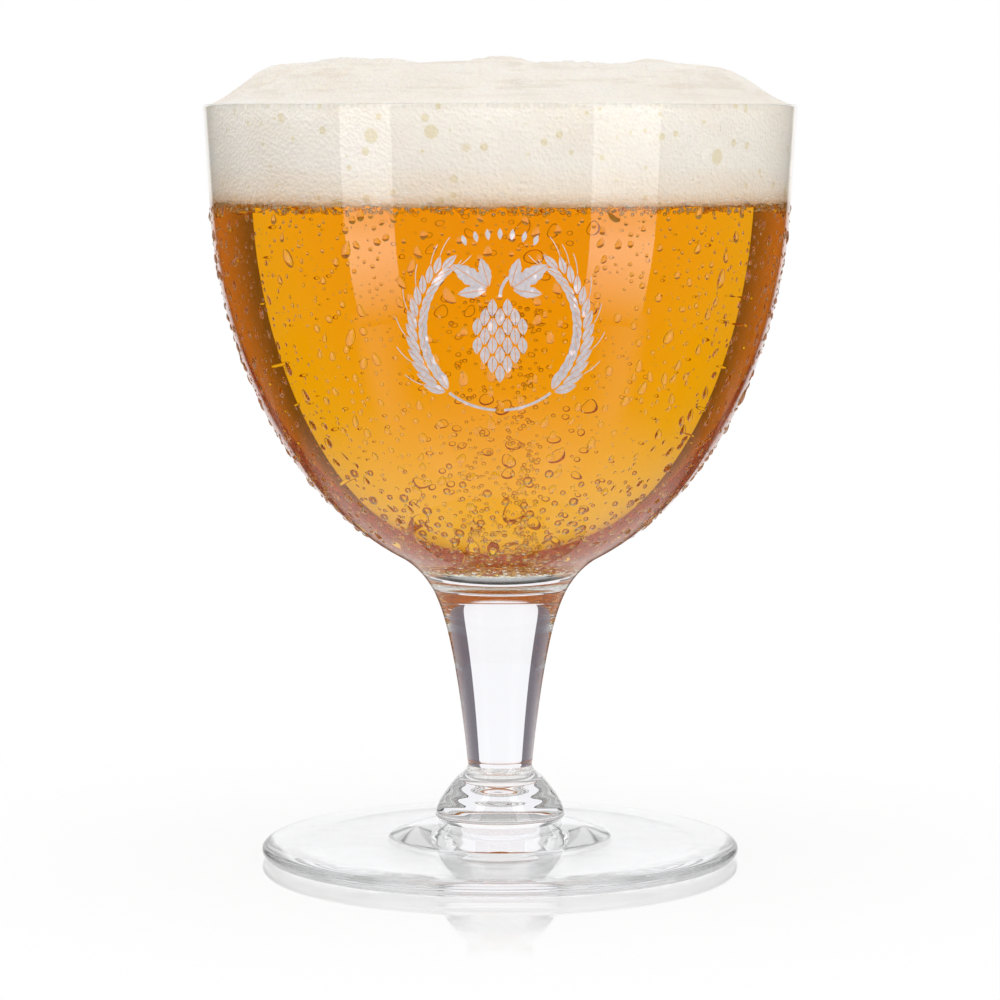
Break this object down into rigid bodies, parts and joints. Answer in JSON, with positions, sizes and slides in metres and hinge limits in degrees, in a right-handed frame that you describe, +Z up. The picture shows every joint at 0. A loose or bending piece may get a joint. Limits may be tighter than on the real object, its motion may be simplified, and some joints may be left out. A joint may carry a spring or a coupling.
{
  "type": "stemmed beer glass",
  "caption": "Stemmed beer goblet of clear glass: a wide rounded bowl on a flared stem, bell-shaped knop and round foot, holding amber beer under a domed head of foam.",
  "frame": {"origin": "centre of the ring on the foot's underside that the glass stands on", "axes": "+Z up along the axis of the glass, -Y towards the picture's camera, +X to its right"},
  "size_m": [0.1, 0.1, 0.1356],
  "materials": {
    "clear_glass": "clear, fire-polished",
    "beer": "clear amber liquid",
    "foam": "matte cream froth",
    "water": "clear drops of condensation",
    "enamel": "fired enamel print, satin"
  },
  "bodies": {
    "root": {"foot": "clear_glass", "knop": "clear_glass", "stem": "clear_glass", "bowl": "clear_glass", "beer": "beer", "foam_head": "foam"}
  },
  "joints": []
}
